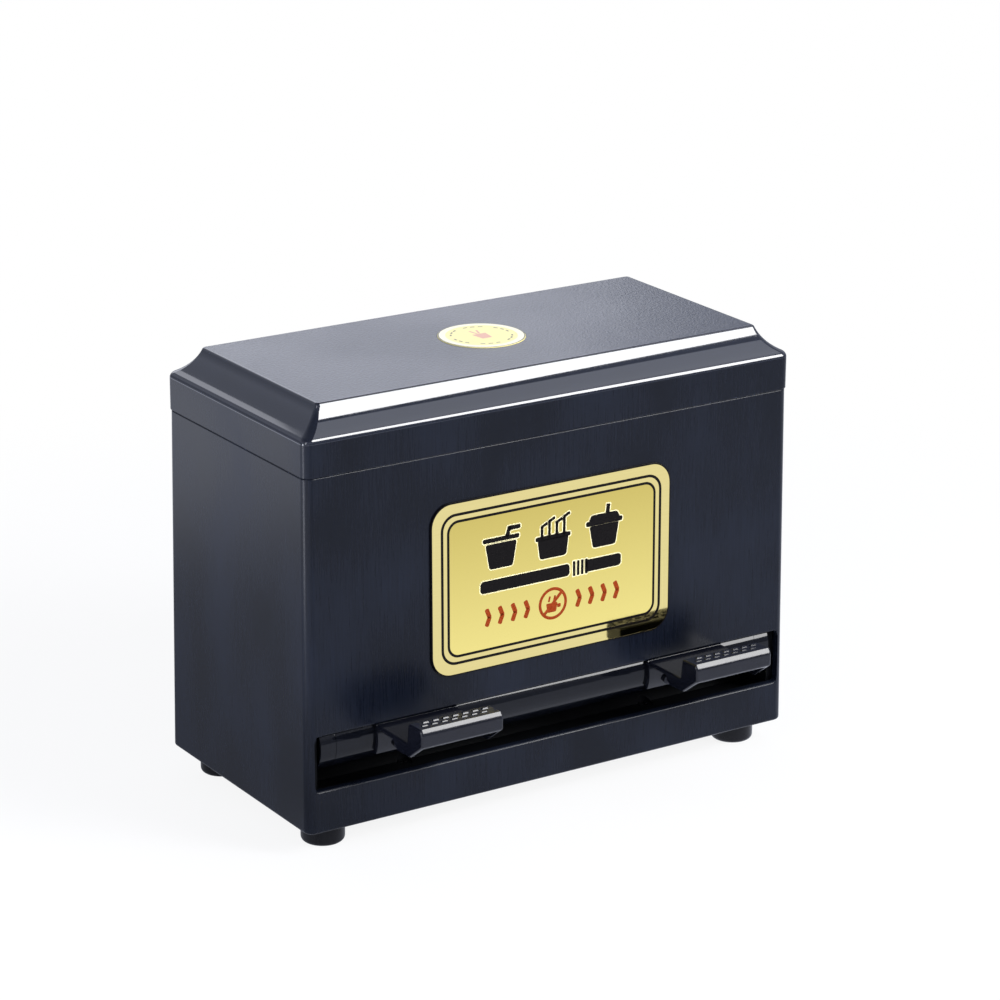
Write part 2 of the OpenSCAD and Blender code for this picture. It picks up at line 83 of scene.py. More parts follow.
def putAt(piece, place, turn):
    makeActive(piece)
    piece.location, piece.rotation_euler = mm(*place), turn
    bpy.ops.object.transform_apply(location=True, rotation=True, scale=True)
    return piece


def addBar(name, size, middle, turn=(0, 0, 0)):
    clearSelection()
    bpy.ops.mesh.primitive_cube_add(size=1, scale=mm(*size), location=mm(*middle), rotation=turn)
    return settle(name)


def addBlock(name, low, high):
    return addBar(name, [b - a for a, b in zip(low, high)], [(a + b) / 2 for a, b in zip(low, high)])


def addUpright(name, radius, place, low, high, sides=64):
    # Upright drum between two heights
    return addDrum(name, radius, high - low, (*place, (low + high) / 2), sides=sides)


def addDrum(name, radius, length, middle, turn=(0, 0, 0), sides=64):
    clearSelection()
    bpy.ops.mesh.primitive_cylinder_add(vertices=sides, radius=radius * millimetre, depth=length * millimetre,
                                        location=mm(*middle), rotation=turn)
    return settle(name)


def startEdit(piece):
    makeActive(piece)
    bpy.ops.object.mode_set(mode="EDIT")


def pick(piece, kind, wanted):
    # Selects what lies where wanted says, in millimetres: faces by middle and normal, points by place,
    # and edges by their ends, of those where two faces meet at an angle
    bpy.ops.mesh.select_mode(type=kind)
    bpy.ops.mesh.select_all(action="DESELECT")
    mesh = bmesh.from_edit_mesh(piece.data)
    if kind == "FACE":
        found = [f for f in mesh.faces if wanted(f.calc_center_median() * 1000, f.normal)]
    elif kind == "EDGE":
        found = [e for e in mesh.edges if e.calc_face_angle(0) > 0.3
                 and wanted(e.verts[0].co * 1000, e.verts[1].co * 1000)]
    else:
        found = [v for v in mesh.verts if wanted(v.co * 1000)]
    for item in found:
        item.select_set(True)
    mesh.select_flush_mode()
    bmesh.update_edit_mesh(piece.data)


def roundEdges(offset, segments):
    bpy.ops.mesh.bevel(offset=offset * millimetre, segments=segments, profile=0.5, affect="EDGES",
                       clamp_overlap=False)


def mergePoints(apart=0.001):
    bpy.ops.mesh.select_all(action="SELECT")
    bpy.ops.mesh.remove_doubles(threshold=apart * millimetre)


def openMiddle(width):
    # Leaves of the flat piece being edited only a band of this width along its edge
    bpy.ops.mesh.select_all(action="SELECT")
    bpy.ops.mesh.inset(thickness=width * millimetre)
    bpy.ops.mesh.delete(type="FACE")


def shift(x=0, y=0, z=0):
    bpy.ops.transform.translate(value=mm(x, y, z))


def extrude(x=0, y=0, z=0):
    bpy.ops.mesh.extrude_region_move(TRANSFORM_OT_translate={"value": mm(x, y, z)})


def applyModifier(piece, kind, **settings):
    makeActive(piece)
    modifier = piece.modifiers.new(kind.title(), kind)
    for key, value in settings.items():
        setattr(modifier, key, value)
    bpy.ops.object.modifier_apply(modifier=modifier.name)


def combine(piece, others, operation):
    # Adds the others to the piece, or takes them out of it
    for other in others:
        applyModifier(piece, "BOOLEAN", object=other, operation=operation)
        bpy.data.objects.remove(other)


def joinAs(name, pieces):
    makeActive(pieces[0])
    for other in pieces[1:]:
        other.select_set(True)
    bpy.ops.object.join()
    pieces[0].name = pieces[0].data.name = name
    return pieces[0]


def copyOf(piece, name, x=0, y=0, z=0):
    made = piece.copy()
    made.data = piece.data.copy()
    made.name = made.data.name = name
    bpy.context.scene.collection.objects.link(made)
    made.data.transform(Matrix.Translation(mm(x, y, z)))
    return made


def finishPiece(piece, body, finishNames, replaced=()):
    # Outward normals, soft shading with the flat faces kept flat, materials, and the body it rides on
    startEdit(piece)
    mergePoints()
    bpy.ops.mesh.normals_make_consistent(inside=False)
    makeActive(piece)
    bpy.ops.object.shade_smooth_by_angle(angle=radians(32))
    applyModifier(piece, "WEIGHTED_NORMAL", keep_sharp=True, weight=80)
    piece.data.materials.clear()
    for name in finishNames:
        piece.data.materials.append(finish[name])
    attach(piece, body)
    if replaced:
        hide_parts(*replaced)
    print("made", piece.name, len(piece.data.polygons), "faces")
    return piece


def toLinear(hexColour):
    channels = [int(hexColour[i:i + 2], 16) / 255 for i in (1, 3, 5)]
    return (*(c / 12.92 if c <= 0.04045 else ((c + 0.055) / 1.055) ** 2.4 for c in channels), 1)


def addNode(tree, kind, inputs=None, **settings):
    node = tree.nodes.new(kind)
    for key, value in settings.items():
        setattr(node, key, value)
    for key, value in (inputs or {}).items():
        if isinstance(value, bpy.types.NodeSocket):
            tree.links.new(value, node.inputs[key])
        else:
            node.inputs[key].default_value = value
    return node


def newMaterial(name, look):
    material = bpy.data.materials.new(name)
    material.use_nodes = True
    tree = material.node_tree
    shader = tree.nodes["Principled BSDF"]
    for key, socket in (("ior", "IOR"), ("specular", "Specular IOR Level"), ("metallic", "Metallic")):
        if key in look:
            shader.inputs[socket].default_value = look[key]
    return material, tree, shader


def grain(tree, size, detail=2, place=(0, 0, 0)):
    # Noise on Object coordinates; size is its spacing in millimetres, alike on all axes or one for each
    sizes = size if isinstance(size, tuple) else (size,) * 3
    coordinates = addNode(tree, "ShaderNodeTexCoord").outputs["Object"]
    mapping = addNode(tree, "ShaderNodeMapping", {
        "Vector": coordinates, "Scale": [1000 / each for each in sizes], "Location": place})
    return addNode(tree, "ShaderNodeTexNoise", {
        "Vector": mapping.outputs[0], "Scale": 1.0, "Detail": detail, "Roughness": 0.6}).outputs["Fac"]


def ranges(value, start, end=(0, 1)):
    # What a Map Range node is given to run a value from one pair of numbers to another
    return {"Value": value, "From Min": start[0], "From Max": start[1], "To Min": end[0], "To Max": end[1]}


noiseEnds = (0.3, 0.7)  # most of a noise lies between these


def paint(tree, shader, look, tone, sheen=None, relief=None):
    # The tone runs the colour between the look's two tones, the sheen runs its roughness, and the relief
    # stands up from the surface (strength, and depth in millimetres); tone serves where one isn't given
    sheen = tone if sheen is None else sheen
    relief = tone if relief is None else relief
    mix = addNode(tree, "ShaderNodeMix", {"Factor": tone}, data_type="RGBA")
    mix.inputs["A"].default_value, mix.inputs["B"].default_value = map(toLinear, look["tones"])
    gloss = addNode(tree, "ShaderNodeMapRange", ranges(sheen, look.get("ends", noiseEnds), look["roughness"]))
    tree.links.new(mix.outputs["Result"], shader.inputs["Base Color"])
    tree.links.new(gloss.outputs["Result"], shader.inputs["Roughness"])
    if "bump" in look:
        strength, depth = look["bump"]
        bump = addNode(tree, "ShaderNodeBump", {
            "Height": relief, "Strength": strength, "Distance": depth * millimetre})
        tree.links.new(bump.outputs["Normal"], shader.inputs["Normal"])


def makeFinish(name, look):
    # A finish of one even pattern
    material, tree, shader = newMaterial(name, look)
    paint(tree, shader, look, grain(tree, look["grain"], look.get("detail", 2)))
    return material


# Black ABS from a mould with an upright brushed grain: streaks about 0.5 mm apart, in fainter and
# stronger patches, which break the wall's gloss into fine upright lines
brushedAbs = {"tones": ("#070a12", "#131824"), "streak": (0.5, 0.5, 14), "patch": (38, 38, 60.8),
              "patchFrom": (3, 5, 7), "patchGain": (0.25, 1), "ends": (0.1, 0.6), "roughness": (0.24, 0.34),
              "ior": 1.53, "specular": 0.16, "bump": (0.35, 0.02)}


def makeBrushedAbs(name, look):
    material, tree, shader = newMaterial(name, look)
    streaks = grain(tree, look["streak"], 3)
    patches = grain(tree, look["patch"], 1, look["patchFrom"])
    gain = addNode(tree, "ShaderNodeMapRange", ranges(patches, noiseEnds, look["patchGain"]))
    worked = addNode(tree, "ShaderNodeMath", {0: streaks, 1: gain.outputs["Result"]},
                     operation="MULTIPLY").outputs[0]
    tone = addNode(tree, "ShaderNodeMapRange", ranges(worked, look["ends"])).outputs["Result"]
    paint(tree, shader, look, tone, worked, worked)
    return material


# Spark-eroded ABS on the lid's flat top: a fine even pebble, drawn 1.1 mm wide so that it shows,
# which spreads the light of the room to a soft grey
pebbledAbs = {"tones": ("#0e121c", "#2a3142"), "pebble": 1.1, "cloud": 60, "cloudFrom": (2, 1, 4),
              "roughness": (0.31, 0.36), "ior": 1.53, "specular": 0.5, "bump": (1.0, 0.16)}


def makePebbledAbs(name, look):
    material, tree, shader = newMaterial(name, look)
    pebbles = grain(tree, look["pebble"])
    tone = addNode(tree, "ShaderNodeMapRange", ranges(pebbles, noiseEnds)).outputs["Result"]
    paint(tree, shader, look, tone, grain(tree, look["cloud"], 1, look["cloudFrom"]), pebbles)
    return material


# Black ABS left as it came from the mould, inside the cabinet, painted darker than the outside for the
# shade in there: dull, with faint flow clouds over a fine roughness
innerAbsPaintedShade = {"tones": ("#050608", "#090a0c"), "cloud": 14, "fine": 0.8, "roughness": (0.5, 0.6), "ior": 1.53,
            "specular": 0.06, "bump": (0.25, 0.02)}


def makeInnerAbsPaintedShade(name, look):
    material, tree, shader = newMaterial(name, look)
    paint(tree, shader, look, grain(tree, look["cloud"], 3), relief=grain(tree, look["fine"], 1))
    return material


# Transparent gold lacquer over the plate's metal inside the frame: a deeper yellow, with a painted
# reflection that runs it from lemon at its foot to olive at its top
goldField = {"tones": ("#f3e083", "#d4bf66"), "paintedReflectionFootAndTop": (73, 129), "cover": 4,
             "roughness": (0.05, 0.08), "metallic": 1}


def makeGoldField(name, look):
    material, tree, shader = newMaterial(name, look)
    place = addNode(tree, "ShaderNodeTexCoord").outputs["Object"]
    # The colour runs with height: a painted reflection, lemon at the foot and olive at the top
    height = addNode(tree, "ShaderNodeSeparateXYZ", {0: place}).outputs["Z"]
    tone = addNode(tree, "ShaderNodeMapRange", ranges(height, mm(*look["paintedReflectionFootAndTop"]))).outputs["Result"]
    paint(tree, shader, look, tone, grain(tree, look["cover"]))
    return material


# Unfilled nylon of the bushes: milky, with a little light let in
naturalNylon = {"tones": ("#d8d3c2", "#e6e2d4"), "grain": 3, "roughness": (0.38, 0.5), "ior": 1.53,
                "letIn": 0.15, "letInDepth": 2}


def makeNylon(name, look):
    material = makeFinish(name, look)
    shader = material.node_tree.nodes["Principled BSDF"]
    shader.inputs["Subsurface Weight"].default_value = look["letIn"]
    shader.inputs["Subsurface Scale"].default_value = look["letInDepth"] * millimetre
    return material


def ofKind(common, **own):
    # What all finishes of one kind share, and what is this one's own
    return {**common, **own}


# Black ABS from the polished parts of the mould: a clear gloss with the slightest waviness
polished = {"ior": 1.53, "bump": (0.08, 0.05)}
# Screen ink and lacquer, a little thick, satin, with slight variation in their cover
printed = {"ior": 1.5, "grain": 1.2, "roughness": (0.29, 0.43)}
# Natural rubber moulded smooth: black with a soft sheen
rubber = {"ior": 1.52, "specular": 0.2, "grain": 5, "detail": 3, "bump": (0.1, 0.05)}
# Steel: the scale and direction of its grain tell ground pins, bright wire and zinc plating apart
steel = {"metallic": 1, "detail": 3, "bump": (0.15, 0.01)}
finishes = {
    "polishedBlackAbs": ofKind(polished, tones=("#0e121c", "#131825"), grain=22, roughness=(0.05, 0.08),
                               specular=0.6),
    # Polished again by years of fingers: a gloss a little softer than the lid's
    "handledBlackAbs": ofKind(polished, tones=("#0c0d14", "#12141c"), grain=18, roughness=(0.13, 0.18),
                              specular=0.32),
    # The top of the levers, dulled by the same fingers, too rough to mirror the plate behind it, and painted
    # a lighter grey for the sheen of the light on it
    "wornPaintedSheenAbs": ofKind(polished, tones=("#1a1c24", "#2a2d37"), grain=6, roughness=(0.5, 0.6),
                           specular=0.02),
    # The roller, in shade behind the slot: glossy, with less tint
    "drumBlackAbs": ofKind(polished, tones=("#07080d", "#0b0d13"), grain=12, roughness=(0.05, 0.07),
                           specular=0.22),
    # Gold-coloured anodised aluminium, bright rolled: a mirror with a very faint long roll grain
    "brightGoldAluminium": {"tones": ("#e2d086", "#e9d78e"), "grain": (60, 1, 0.6), "roughness": (0.04, 0.07),
                            "metallic": 1, "bump": (0.02, 0.005)},
    "blackScreenInk": ofKind(printed, tones=("#070505", "#0d0a09"), roughness=(0.24, 0.38), specular=0.1),
    "redScreenInk": ofKind(printed, tones=("#7f2d08", "#8d360c"), roughness=(0.34, 0.48), specular=0.1),
    "paleScreenInk": ofKind(printed, tones=("#d9d0a0", "#e2d9ac"), roughness=(0.34, 0.48), specular=0.15),
    "creamLacquer": ofKind(printed, tones=("#e4dcc0", "#ece5cc"), specular=0.2),
    "paleYellowLacquer": ofKind(printed, tones=("#e2d68c", "#eadf9c"), specular=0.2),
    "oliveInk": ofKind(printed, tones=("#55533c", "#68664a"), specular=0.3),
    "fadedRedInk": ofKind(printed, tones=("#cf9a84", "#d9a891"), roughness=(0.34, 0.48), specular=0.3),
    "blackFootRubber": ofKind(rubber, tones=("#08080b", "#0e0e12"), roughness=(0.24, 0.38)),
    "blackWiperRubber": ofKind(rubber, tones=("#08080a", "#0f0f11"), roughness=(0.49, 0.63)),
    "groundSteel": ofKind(steel, tones=("#9a9ca1", "#b4b6bb"), grain=(0.3, 6, 6), roughness=(0.2, 0.32)),
    "springSteelWire": ofKind(steel, tones=("#a5a7ac", "#c0c2c6"), grain=2, roughness=(0.18, 0.28)),
    "zincPlatedSteel": ofKind(steel, tones=("#8d8f92", "#a9abac"), grain=1.5, roughness=(0.3, 0.45)),
    "blackZincPlatedSteel": ofKind(steel, tones=("#26272b", "#333439"), grain=1.5, roughness=(0.35, 0.5)),
}
finish = {name: makeFinish(name, look) for name, look in finishes.items()}
finish["brushedBlackAbs"] = makeBrushedAbs("brushedBlackAbs", brushedAbs)
finish["pebbledBlackAbs"] = makePebbledAbs("pebbledBlackAbs", pebbledAbs)
finish["innerPaintedShadeAbs"] = makeInnerAbsPaintedShade("innerPaintedShadeAbs", innerAbsPaintedShade)
finish["goldLacquerPaintedReflection"] = makeGoldField("goldLacquerPaintedReflection", goldField)
finish["naturalNylon"] = makeNylon("naturalNylon", naturalNylon)
print("materials made:", len(bpy.data.materials))


cameraView = {"target": (0, 16.5, 92.5), "azimuth": -32.759, "elevation": 19.346, "roll": 0.241,
              "distance": 1502.10, "lens": 129.326, "sensor": 36, "shiftX": 0.0194, "shiftY": 0.0481,
              "clip": (10, 50000)}


def addCamera(view):
    azimuth, elevation, roll = (radians(view[key]) for key in ("azimuth", "elevation", "roll"))
    back = Vector((sin(azimuth) * cos(elevation), -cos(azimuth) * cos(elevation), sin(elevation)))
    level = Vector((cos(azimuth), sin(azimuth), 0))
    plumb = back.cross(level)
    right = level * cos(roll) + plumb * sin(roll)
    up = plumb * cos(roll) - level * sin(roll)
    clearSelection()
    bpy.ops.object.camera_add()
    camera = bpy.context.object
    eye = Vector(mm(*view["target"])) + back * view["distance"] * millimetre
    camera.matrix_world = Matrix.Translation(eye) @ Matrix((right, up, back)).transposed().to_4x4()
    camera.data.sensor_width = view["sensor"]
    camera.data.lens = view["lens"]
    camera.data.shift_x, camera.data.shift_y = view["shiftX"], view["shiftY"]
    camera.data.clip_start, camera.data.clip_end = mm(*view["clip"])
    bpy.context.scene.camera = camera


# Each lamp: where it stands (metres), what it faces, its width and height, which way its height runs,
# its power and its colour. The key lamp is a long strip, leaned so that every edge along X mirrors it.
# The side lamp shows in the corner of the coves, the rear lamp in the lid's top, the top lamp in the
# foot of the front cove and the corner lamp all down the upright front corner.
softboxes = {
    "keyLamp": {"at": (0.690, -0.957, 0.789), "to": (-0.007, -0.060, 0.076), "size": (0.44, 0.97),
                "up": (-0.630, 0.117, 0.763), "power": 25, "colour": "#ffffff"},
    "sideLamp": {"at": (-1.35, -0.85, 1.00), "to": (-0.1, -0.04, 0.17), "size": (0.5, 1.0), "up": (0, 0, 1),
                 "power": 6, "colour": "#f2f5ff"},
    "rearLamp": {"at": (0.29, 1.05, 0.62), "to": (0, 0.02, 0.18), "size": (0.95, 0.6), "up": (0, 0, 1),
                 "power": 3.05, "colour": "#f4f6ff"},
    "topLamp": {"at": (0.62, -0.18, 1.15), "to": (0, 0, 0.18), "size": (0.5, 0.8), "up": (0, 1, 0),
                "power": 2.3, "colour": "#eef2ff"},
    "cornerLamp": {"at": (-0.40, -0.03, 0.12), "to": (-0.115, -0.03, 0.10), "size": (0.08, 0.22),
                   "up": (0, 0, 1), "power": 0.6, "colour": "#eef2ff"},
}


def addSoftbox(name, lamp):
    clearSelection()
    bpy.ops.object.light_add(type="AREA")
    light = bpy.context.object
    light.name = name
    light.data.shape = "RECTANGLE"
    light.data.size, light.data.size_y = lamp["size"]
    light.data.energy = lamp["power"]
    light.data.color = toLinear(lamp["colour"])[:3]
    away = (Vector(lamp["at"]) - Vector(lamp["to"])).normalized()
    side = Vector(lamp["up"]).cross(away).normalized()
    turn = Matrix((side, away.cross(side), away)).transposed().to_4x4()
    light.matrix_world = Matrix.Translation(lamp["at"]) @ turn
    light.visible_camera = False


# The paper (metres from the middle) glows white where it is seen, a little less close to the object so
# that the shadow shows. In gloss it is cool, dim behind the left wall (shadeAt), where the object keeps
# the light off it, brighter to the left of that and dimmer again past the lamps (dusk).
paper = {"half": 8.0, "colour": "#e4e6ea", "glowFrom": (0.30, 0.58), "glow": (0.88, 1.0),
         "gloss": "#eaefff", "shadeAt": (-0.22, 0.14, 0), "shadeFrom": (0.12, 0.34), "shade": (0.45, 1.2),
         "leftFrom": (-0.15, -0.45), "left": (1.0, 2.0), "duskFrom": (0.72, 1.2), "dusk": (1.0, 0.3)}


def addPaper(look):
    clearSelection()
    bpy.ops.mesh.primitive_plane_add(size=2 * look["half"], location=(0, 0, 0))
    floor = settle("paperFloor")
    material = bpy.data.materials.new("whitePaper")
    material.use_nodes = True
    tree = material.node_tree
    tree.nodes.remove(tree.nodes["Principled BSDF"])
    place = addNode(tree, "ShaderNodeTexCoord").outputs["Object"]
    across = addNode(tree, "ShaderNodeSeparateXYZ", {0: place}).outputs["X"]
    away = addNode(tree, "ShaderNodeVectorMath", {0: place}, operation="LENGTH").outputs["Value"]
    fromShade = addNode(tree, "ShaderNodeVectorMath", {0: place, 1: look["shadeAt"]},
                        operation="DISTANCE").outputs["Value"]
    glowShare, shade, left, dusk = [
        addNode(tree, "ShaderNodeMapRange", ranges(value, look[part + "From"], look[part]),
                interpolation_type=run).outputs["Result"]
        for value, part, run in ((away, "glow", "SMOOTHSTEP"), (fromShade, "shade", "SMOOTHSTEP"),
                                 (across, "left", "LINEAR"), (away, "dusk", "LINEAR"))]
    path = addNode(tree, "ShaderNodeLightPath").outputs
    seen, shadeAndLeft = [
        addNode(tree, "ShaderNodeMath", {0: first, 1: second}, operation="MULTIPLY").outputs[0]
        for first, second in ((path["Is Camera Ray"], glowShare), (shade, left))]
    level = addNode(tree, "ShaderNodeMath", {0: shadeAndLeft, 1: dusk}, operation="MULTIPLY").outputs[0]
    mirrored = addNode(tree, "ShaderNodeMath", {0: path["Is Glossy Ray"], 1: path["Is Transmission Ray"]},
                       operation="MAXIMUM").outputs[0]

    # Lit paper, glowing where the camera sees it, cool where gloss mirrors it, and clear from below
    colour, gloss = toLinear(look["colour"]), toLinear(look["gloss"])
    surface = addNode(tree, "ShaderNodeBsdfDiffuse", {"Color": colour}).outputs[0]
    glow = addNode(tree, "ShaderNodeEmission", {"Strength": 1.0}).outputs[0]
    cool = addNode(tree, "ShaderNodeEmission", {"Color": gloss, "Strength": level}).outputs[0]
    clear = addNode(tree, "ShaderNodeBsdfTransparent").outputs[0]
    below = addNode(tree, "ShaderNodeNewGeometry").outputs["Backfacing"]
    for share, other in ((seen, glow), (mirrored, cool), (below, clear)):
        surface = addNode(tree, "ShaderNodeMixShader", {0: share, 1: surface, 2: other}).outputs[0]
    tree.links.new(surface, tree.nodes["Material Output"].inputs["Surface"])
    floor.data.materials.append(material)


# The room in gloss, by height of the direction: dim at the horizon, pale above it and dark overhead
room = {"colour": "#e6ecff", "sky": ((0.0, 0.45), (0.14, 0.45), (0.32, 0.9), (0.55, 0.72), (0.9, 0.22))}


def addRoom(look):
    world = bpy.context.scene.world or bpy.data.worlds.new("studio")
    bpy.context.scene.world = world
    world.use_nodes = True
    tree = world.node_tree
    background = tree.nodes["Background"]
    background.inputs["Color"].default_value = toLinear(look["colour"])
    direction = addNode(tree, "ShaderNodeTexCoord").outputs["Generated"]
    height = addNode(tree, "ShaderNodeSeparateXYZ", {0: direction}).outputs["Z"]
    sky = addNode(tree, "ShaderNodeValToRGB", {"Fac": height})
    while len(sky.color_ramp.elements) < len(look["sky"]):
        sky.color_ramp.elements.new(0.5)
    for stop, (position, strength) in zip(sky.color_ramp.elements, look["sky"]):
        stop.position, stop.color = position, (strength, strength, strength, 1)
    tree.links.new(sky.outputs["Color"], background.inputs["Strength"])


addCamera(cameraView)
for lampName, lampLook in softboxes.items():
    addSoftbox(lampName, lampLook)
addPaper(paper)
addRoom(room)
bpy.context.scene.view_settings.view_transform = "Standard"
print("stage set")


cabinet = {"width": 235, "depth": 115, "topWidth": 232.1, "topDepth": 111.4, "bottom": 10, "seam": 158,
           "frontY": -41, "midY": 16.5, "cornerRadius": 4, "wall": 2.8, "footEdge": 1.3, "seamEdge": 0.65,
           "slotHalf": 114, "slotLow": 28, "slotHigh": 51, "slotCorner": 2.5, "slotEdge": 1.2,
           "slotCut": (-48, -36), "rimWidth": 227.4, "rimDepth": 106.6, "rimRadius": 2.5, "rimWall": 2,
           "rimLow": 150, "rimHigh": 163, "rimEdge": 0.4, "insideX": 115.5,
           "bossX": 102, "bossY": (-25.5, 58.5), "bossRadius": 4.5, "bossZ": (13.05, 20), "webHalf": 1.2,
           "bossHole": 2, "bossHoleZ": (10, 19.2), "ledgeX": 107, "ledgeY": (-8, 70.8),
           "ledgeZ": (54.62, 60.62), "chuteFoot": (-24.8, 56.95), "chuteSlope": 20, "chuteScrewX": 108.7,
           "chuteScrews": (26, 88), "chuteHole": 1.5, "chuteHoleDeep": 8}
lean = (cabinet["depth"] - cabinet["topDepth"]) / 2 / (cabinet["seam"] - cabinet["bottom"])


def frontAt(z):
    return cabinet["frontY"] + (z - cabinet["bottom"]) * lean


def roundedTube(name, width, depth, radius, wall, low, high, topWidth=None, topDepth=None):
    # Open box with rounded uprights and a wall of one thickness
    middle = cabinet["midY"]
    tube = addBlock(name, (-width / 2, middle - depth / 2, low), (width / 2, middle + depth / 2, high))
    startEdit(tube)
    if topWidth:
        pick(tube, "FACE", lambda c, n: n.z > square)
        bpy.ops.transform.resize(value=(topWidth / width, topDepth / depth, 1),
                                 center_override=mm(0, middle, high))
    pick(tube, "EDGE", lambda a, b: abs(a.z - b.z) > 1)
    roundEdges(radius, 8)
    pick(tube, "FACE", lambda c, n: abs(n.z) > square)
    bpy.ops.mesh.delete(type="FACE")
    applyModifier(tube, "SOLIDIFY", thickness=wall * millimetre, offset=-1, use_even_offset=True)
    return tube


def addCabinet(c):
    shell = roundedTube("cabinet_shell", c["width"], c["depth"], c["cornerRadius"], c["wall"], c["bottom"],
                        c["seam"], c["topWidth"], c["topDepth"])
    cutter = addBlock("slotCutter", (-c["slotHalf"], c["slotCut"][0], c["slotLow"]),
                      (c["slotHalf"], c["slotCut"][1], c["slotHigh"]))
    startEdit(cutter)
    pick(cutter, "EDGE", lambda a, b: abs(a.y - b.y) > 1)
    roundEdges(c["slotCorner"], 6)
    combine(shell, [cutter], "DIFFERENCE")
    startEdit(shell)
    pick(shell, "EDGE", lambda a, b: all(
        abs(p.y - frontAt(p.z)) < hair and abs(p.x) < c["slotHalf"] + hair
        and c["slotLow"] - hair < p.z < c["slotHigh"] + hair for p in (a, b)))
    roundEdges(c["slotEdge"], 3)
    outside = c["wall"] / 3  # a point this far past the inner wall is on the outer one
    pick(shell, "EDGE", lambda a, b: max(a.z, b.z) < c["bottom"] + hair and all(
        abs(p.x) > c["width"] / 2 - c["wall"] + outside
        or abs(p.y - c["midY"]) > c["depth"] / 2 - c["wall"] + outside for p in (a, b)))
    roundEdges(c["footEdge"], 4)
    pick(shell, "EDGE", lambda a, b: min(a.z, b.z) > c["seam"] - hair)
    roundEdges(c["seamEdge"], 3)

    rim = roundedTube("rim", c["rimWidth"], c["rimDepth"], c["rimRadius"], c["rimWall"], c["rimLow"],
                      c["rimHigh"])
    startEdit(rim)
    pick(rim, "EDGE", lambda a, b: min(a.z, b.z) > c["rimHigh"] - hair)
    roundEdges(c["rimEdge"], 3)

    # Inside: a sloping ledge under each end of the chute, and bosses for the feet's screws
    added, holes = [rim], []
    slope = radians(c["chuteSlope"])
    ledgeFront, ledgeBack = c["ledgeY"]
    (bossLow, bossHigh), webHalf = c["bossZ"], c["webHalf"]
    for side in (-1, 1):
        low, high = sorted((side * c["ledgeX"], side * c["insideX"]))
        ledge = addBlock("ledge", (low, ledgeFront, c["ledgeZ"][0]), (high, ledgeBack, c["ledgeZ"][1]))
        startEdit(ledge)
        pick(ledge, "FACE", lambda p, n: n.y > square)
        shift(z=(ledgeBack - ledgeFront) * tan(slope))
        clearSelection()
        added.append(ledge)
        x = side * c["bossX"]
        low, high = sorted((x, side * c["insideX"]))
        for y in c["bossY"]:
            added.append(addUpright("boss", c["bossRadius"], (x, y), bossLow, bossHigh, 32))
            added.append(addBlock("web", (low, y - webHalf, bossLow), (high, y + webHalf, bossHigh)))
            holes.append(addUpright("bossHole", c["bossHole"], (x, y), *c["bossHoleZ"], 24))
        for along in c["chuteScrews"]:
            under = c["chuteHoleDeep"] / 2
            y = c["chuteFoot"][0] + along * cos(slope) + under * sin(slope)
            z = c["chuteFoot"][1] + along * sin(slope) - under * cos(slope)
            holes.append(addDrum("screwHole", c["chuteHole"], c["chuteHoleDeep"],
                                 (side * c["chuteScrewX"], y, z), (slope, 0, 0), 24))
    combine(shell, added, "UNION")
    combine(shell, holes, "DIFFERENCE")
    return finishPiece(shell, "cabinet", ["brushedBlackAbs"], ["body_shell"])


addCabinet(cabinet)


lid = {"width": 232.6, "depth": 111.8, "seam": 158, "ledge": 173.4, "top": 184.7, "coveX": 11.3, "coveY": 9.7,
       "coveRadius": 20, "coveSteps": 10, "coveEven": 0.8, "coveClose": 1.6, "cornerRadius": 3.6,
       "topCornerRadius": 1.6,
       "ledgeEdge": 1.75, "topEdge": 0.7, "footEdge": 0.5, "sheer": 0.3,
       "innerWidth": 228.2, "innerDepth": 107.4, "innerTop": 171, "crownWidth": 205, "crownDepth": 87.4,
       "crownTop": 182.2, "seatRadius": 18.35, "seatFloor": 184.0, "seatCut": 188}


def coveDraw(z, draw):
    # How far the concave cove has drawn the outline in at height z
    rise = lid["top"] - lid["ledge"]
    chord = hypot(draw, rise)
    back = sqrt(lid["coveRadius"] ** 2 - chord * chord / 4)
    centreZ = (lid["ledge"] + lid["top"]) / 2 + back * draw / chord
    return draw / 2 - back * rise / chord + sqrt(lid["coveRadius"] ** 2 - (z - centreZ) ** 2)


